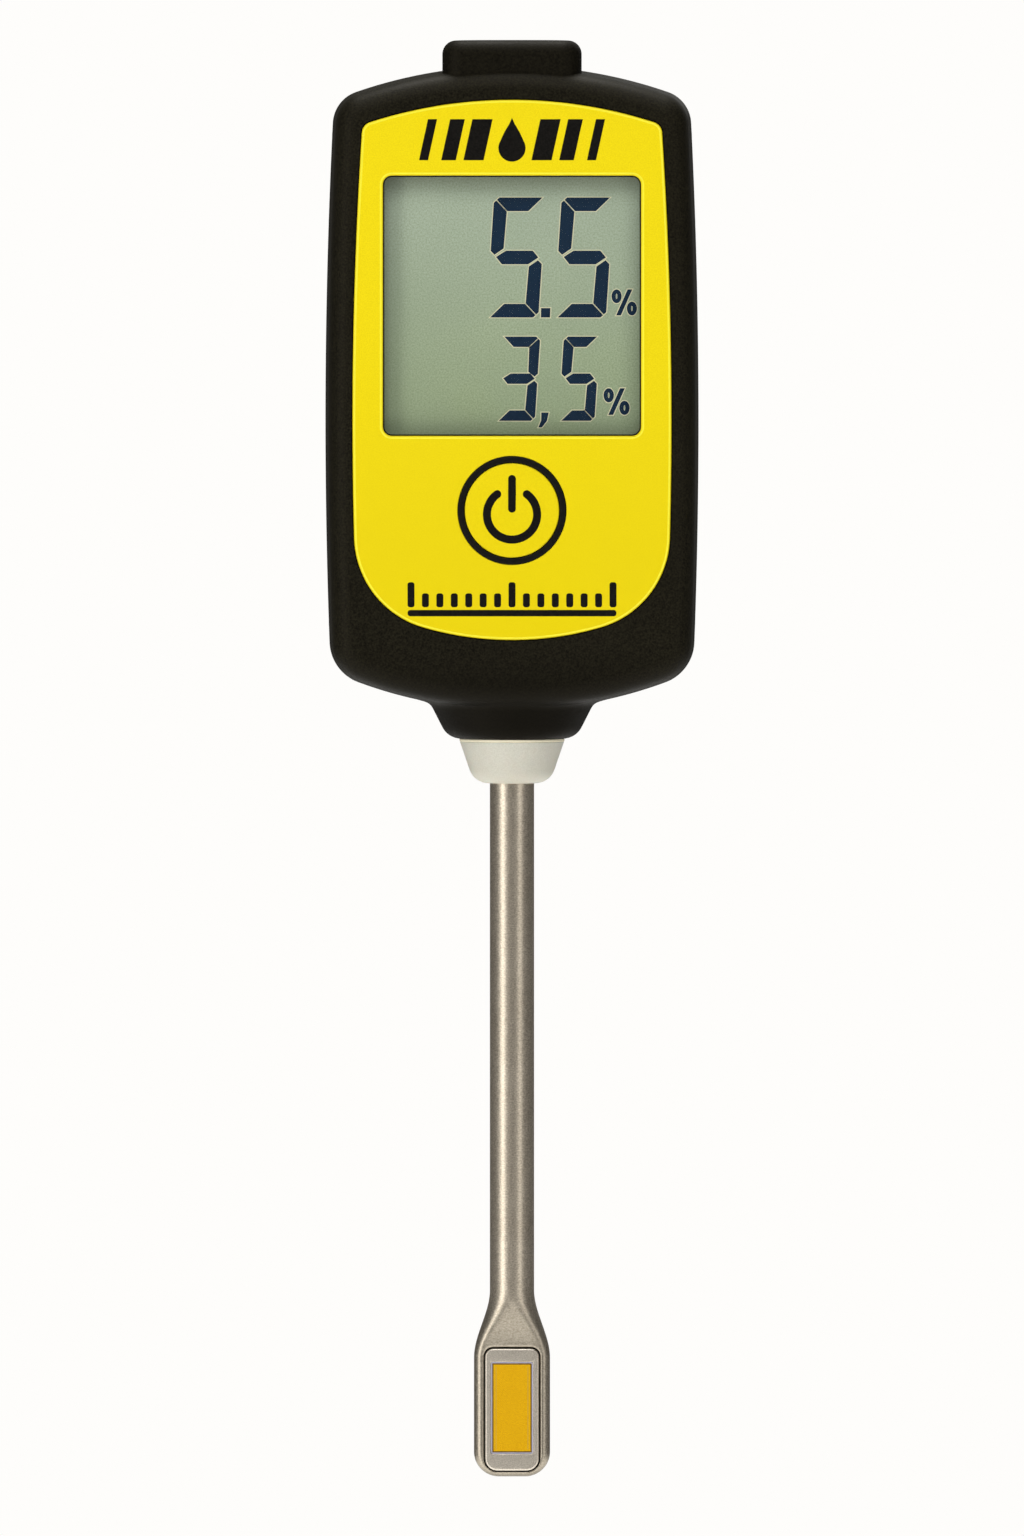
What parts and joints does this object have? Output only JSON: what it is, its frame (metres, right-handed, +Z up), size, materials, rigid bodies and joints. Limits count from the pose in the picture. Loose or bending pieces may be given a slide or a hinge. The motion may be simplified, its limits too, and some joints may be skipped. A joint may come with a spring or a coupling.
{
  "type": "dip probe tester",
  "caption": "Hand-held dip tester: black two-shell housing with display and one key, steel probe tube and flat capacitive sensor head.",
  "frame": {"origin": "centre of the lanyard bore in the lug on top of the housing", "axes": "+Z up along the probe, which hangs down; the display faces -Y; +X is along the lanyard bore, to the right as seen from the front"},
  "size_m": [0.054, 0.022, 0.2078],
  "materials": {
    "housing_plastic": "matt black, fine moulded texture",
    "lug_rubber": "matt black rubber",
    "seal_rubber": "matt",
    "cover_seal_rubber": "satin red silicone",
    "key_ring": "matt black",
    "contact_brass": "plain",
    "screw_steel": "plain zinc",
    "label_foil": "satin printed yellow polyester",
    "key_cap": "satin yellow with a black printed symbol",
    "component_plastic": "black moulded",
    "window_clear": "clear, polished",
    "lcd_glass": "satin polariser film",
    "lcd_reflector": "grey-green reflector film",
    "lcd_frame": "white moulded",
    "contact_strip": "silicone",
    "rating_plate": "blank silver polyester",
    "board": "green solder resist",
    "components": "mixed chip parts",
    "connector": "ivory nylon",
    "cell_can": "nickel plated",
    "neck_seal": "cream",
    "ferrule_plastic": "ivory, satin",
    "probe_steel": "fine brushed stainless steel",
    "clamp_steel": "plain",
    "head_steel": "satin blasted stainless steel",
    "carrier_steel": "satin",
    "chip_bond": "clear grey resin",
    "sensor_chip": "amber coated ceramic",
    "temperature_ceramic": "white",
    "lead_insulation": "red insulation"
  },
  "bodies": {
    "root": {"front_shell": "housing_plastic", "rear_shell": "housing_plastic", "shell_gasket": "seal_rubber", "hanging_lug": "lug_rubber", "threaded_inserts": "contact_brass", "housing_screws": "screw_steel", "front_label": "label_foil", "display_window": "window_clear", "rating_plate": "rating_plate", "key_seal": "key_ring", "display_glass": "lcd_glass", "display_reflector": "lcd_reflector", "display_frame": "lcd_frame", "contact_strip": "contact_strip", "main_board": "board", "microcontroller": "component_plastic", "board_components": "components", "board_screws": "screw_steel", "tact_switch": "component_plastic", "probe_connector": "connector", "negative_contact": "contact_brass", "positive_contact": "contact_brass", "coin_cell": "cell_can", "neck_seal": "neck_seal", "probe_ferrule": "ferrule_plastic", "ferrule_seal": "seal_rubber", "probe_tube": "probe_steel", "tube_clamp": "clamp_steel", "sensor_head": "head_steel", "head_gasket": "seal_rubber", "sensor_carrier": "carrier_steel", "chip_bond": "chip_bond", "sensor_chip": "sensor_chip", "temperature_sensor": "temperature_ceramic", "sensor_leads": "lead_insulation"},
    "key": {"power_key": "key_cap", "switch_plunger": "component_plastic"},
    "cover_lift_ring": {"cover_seal": "cover_seal_rubber"},
    "battery_cover": {"battery_cover": "housing_plastic"}
  },
  "joints": [
    {"name": "key_press", "type": "slide", "parent": "root", "child": "key", "axis": [0, 1, 0], "range_m": [0, 0.0004], "stiffness_N_per_m": 2500},
    {"name": "cover_lift", "type": "slide", "parent": "root", "child": "cover_lift_ring", "axis": [0, 1, 0], "range_m": [0, 0.0045]},
    {"name": "cover_turn", "type": "hinge", "parent": "cover_lift_ring", "child": "battery_cover", "pos_m": [0, 0.011, -0.03805], "axis": [0, 1, 0], "range_deg": [0, 1080]}
  ],
  "couplings": [
    {"joint": "cover_lift", "follows": "cover_turn", "m_per_rad": 0.00023873}
  ]
}
